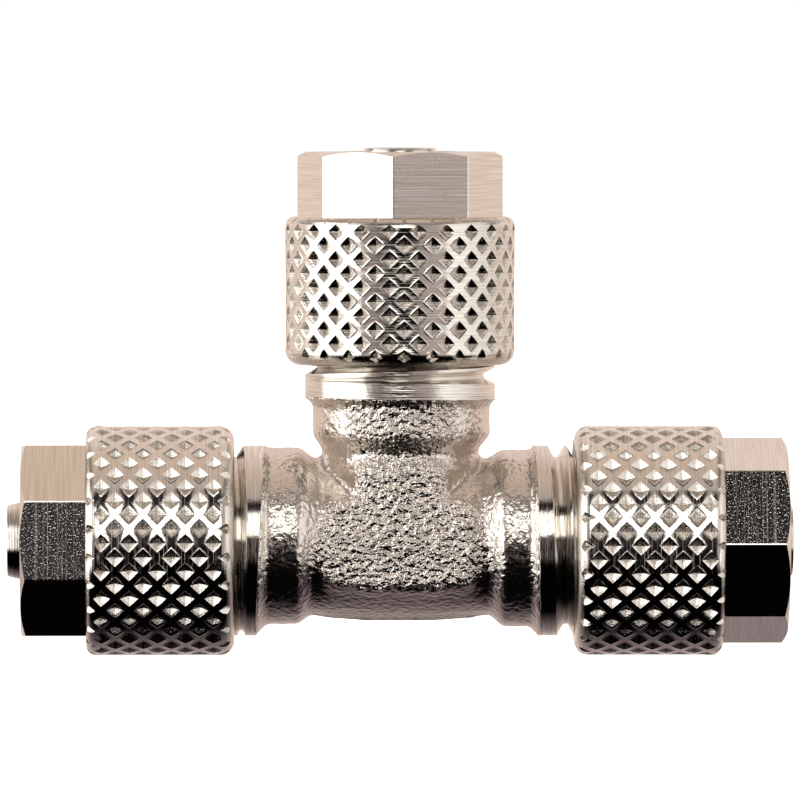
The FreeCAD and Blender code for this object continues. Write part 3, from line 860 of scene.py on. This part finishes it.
def table_top():
    material = bpy.data.materials.new("white_table")
    material.use_nodes = True
    tree = material.node_tree
    shader = tree.nodes["Principled BSDF"]
    shader.inputs["Base Color"].default_value = linear("#F4F4F4")
    shader.inputs["Roughness"].default_value = 0.9
    shader.inputs["Emission Color"].default_value = (1, 1, 1, 1)
    shader.inputs["Emission Strength"].default_value = 1.0
    mesh = bpy.data.meshes.new("table_top")
    steps = 64
    reach = 1.2
    angles = [i * 2 * math.pi / steps for i in range(steps)]
    rim = [(reach * math.cos(a), reach * math.sin(a), low[2]) for a in angles]
    mesh.from_pydata(rim, [], [tuple(range(steps))])
    mesh.materials.append(material)
    table = bpy.data.objects.new("table_top", mesh)
    bpy.context.collection.objects.link(table)
    table.visible_glossy = False


def studio():
    world = bpy.data.worlds.new("studio")
    bpy.context.scene.world = world
    world.use_nodes = True
    tree = world.node_tree
    tree.nodes.clear()
    way = add_node(tree, "ShaderNodeSeparateXYZ", {},
                   Vector=add_node(tree, "ShaderNodeTexCoord").outputs["Generated"]).outputs
    front = add_node(tree, "ShaderNodeMath", {"operation": "MULTIPLY"}, at_0=way["Y"], at_1=-1.0)
    rise = add_node(tree, "ShaderNodeMath", {"operation": "ARCTAN2"}, at_0=way["Z"], at_1=front)
    swing = add_node(tree, "ShaderNodeMath", {"operation": "ARCTAN2"}, at_0=way["X"], at_1=front)
    round_run = add_node(tree, "ShaderNodeMath", {"operation": "MULTIPLY_ADD"}, at_0=rise,
                         at_1=0.5 / math.pi, at_2=0.5)
    round_branch = add_node(tree, "ShaderNodeMath", {"operation": "MULTIPLY_ADD"}, at_0=swing,
                            at_1=0.5 / math.pi, at_2=0.5)
    over_and_under = add_node(tree, "ShaderNodeValToRGB", {}, at_0=round_run)
    at_sides = add_node(tree, "ShaderNodeValToRGB", {}, at_0=round_branch)
    side_share = add_node(tree, "ShaderNodeValToRGB", {}, at_0=round_branch)
    for strip, bands in (
        (over_and_under, (
            (-180, (0.92, 0.76, 0.66)), (-138, (0.27, 0.22, 0.23)), (-106, (0.04, 0.03, 0.035)),
            (-97, (0.001, 0.001, 0.001)), (-6, (0.001, 0.001, 0.001)), (0, (0.02, 0.018, 0.02)),
            (7, (0.04, 0.035, 0.04)), (10, (2.6, 2.54, 2.4)), (35, (2.6, 2.54, 2.4)),
            (38, (0.012, 0.01, 0.012)), (49, (0.012, 0.01, 0.012)), (55, (0.53, 0.47, 0.43)),
            (92, (0.74, 0.58, 0.47)), (132, (0.92, 0.77, 0.71)), (180, (0.92, 0.76, 0.66)))),
        (at_sides, (
            (-106, (1.8, 1.76, 1.7)), (-46, (2.4, 2.36, 2.3)), (-41, (0.48, 0.41, 0.40)),
            (-14, (0.12, 0.10, 0.10)), (14, (0.12, 0.10, 0.10)), (20, (0.44, 0.37, 0.36)),
            (43, (0.52, 0.44, 0.42)), (49, (1.3, 1.25, 1.2)), (106, (0.85, 0.8, 0.76)))),
        (side_share, (
            (-113, (0, 0, 0)), (-103, (1, 1, 1)), (-20, (1, 1, 1)), (-9, (0, 0, 0)), (9, (0, 0, 0)),
            (20, (1, 1, 1)), (103, (1, 1, 1)), (113, (0, 0, 0)))),
    ):
        stops = strip.color_ramp.elements
        while len(stops) < len(bands):
            stops.new(0.5)
        for stop, (degrees, _) in zip(stops, bands):
            stop.position = degrees / 360 + 0.5
        for stop, (_, colour) in zip(stops, bands):
            stop.color = (*colour, 1)
    not_over = add_node(tree, "ShaderNodeMapRange", {"interpolation_type": "SMOOTHSTEP"},
                        Value=way["Z"], From_Min=0.72, From_Max=0.52)
    not_under = add_node(tree, "ShaderNodeMapRange", {"interpolation_type": "SMOOTHSTEP"},
                         Value=way["Z"], From_Min=-0.45, From_Max=-0.25)
    level = add_node(tree, "ShaderNodeMath", {"operation": "MINIMUM"}, at_0=not_over,
                     at_1=not_under)
    lofty = add_node(tree, "ShaderNodeMapRange", {"interpolation_type": "SMOOTHSTEP"},
                     Value=way["Z"], From_Min=0.25, From_Max=0.45)
    aside = add_node(tree, "ShaderNodeMath", {"operation": "ABSOLUTE"}, at_0=way["X"])
    corner = add_node(tree, "ShaderNodeMath", {"operation": "MULTIPLY"}, at_0=aside, at_1=lofty)
    high_side = add_node(tree, "ShaderNodeMapRange", {"interpolation_type": "SMOOTHSTEP"},
                         Value=corner, From_Min=0.35, From_Max=0.55, To_Min=1.0, To_Max=0.4)
    above = add_node(tree, "ShaderNodeVectorMath", {"operation": "SCALE"}, at_0=over_and_under,
                     Scale=high_side)
    share = add_node(tree, "ShaderNodeMath", {"operation": "MULTIPLY"}, at_0=side_share, at_1=level)
    round_all = add_node(tree, "ShaderNodeMix", {"data_type": "RGBA"}, at_0=share, at_6=above,
                         at_7=at_sides)
    lit = add_node(tree, "ShaderNodeBackground", {}, Color=round_all.outputs[2], Strength=1.0)
    seen = add_node(tree, "ShaderNodeBackground", {}, Color=(1, 1, 1, 1), Strength=1.0)
    camera_ray = add_node(tree, "ShaderNodeLightPath").outputs["Is Camera Ray"]
    both = add_node(tree, "ShaderNodeMixShader", {}, at_0=camera_ray, at_1=lit, at_2=seen)
    add_node(tree, "ShaderNodeOutputWorld", {}, Surface=both)


table_top()
studio()

target = np.array([(low[0] + high[0]) / 2, 0.0, (low[2] + high[2]) / 2 + 0.00007])
elevation, turn_left, distance = math.radians(1.7), math.radians(0.9), 0.557
toward = np.array([-math.sin(turn_left) * math.cos(elevation),
                   -math.cos(turn_left) * math.cos(elevation), math.sin(elevation)])
lens = bpy.data.cameras.new("camera")
lens.lens = 476.6
lens.sensor_width = 36.0
lens.clip_start = 0.01
camera = bpy.data.objects.new("camera", lens)
bpy.context.collection.objects.link(camera)
camera.location = target + distance * toward
camera.rotation_euler = (math.pi / 2 - elevation, 0, -turn_left)
bpy.context.scene.camera = camera
bpy.context.scene.view_settings.view_transform = "Standard"
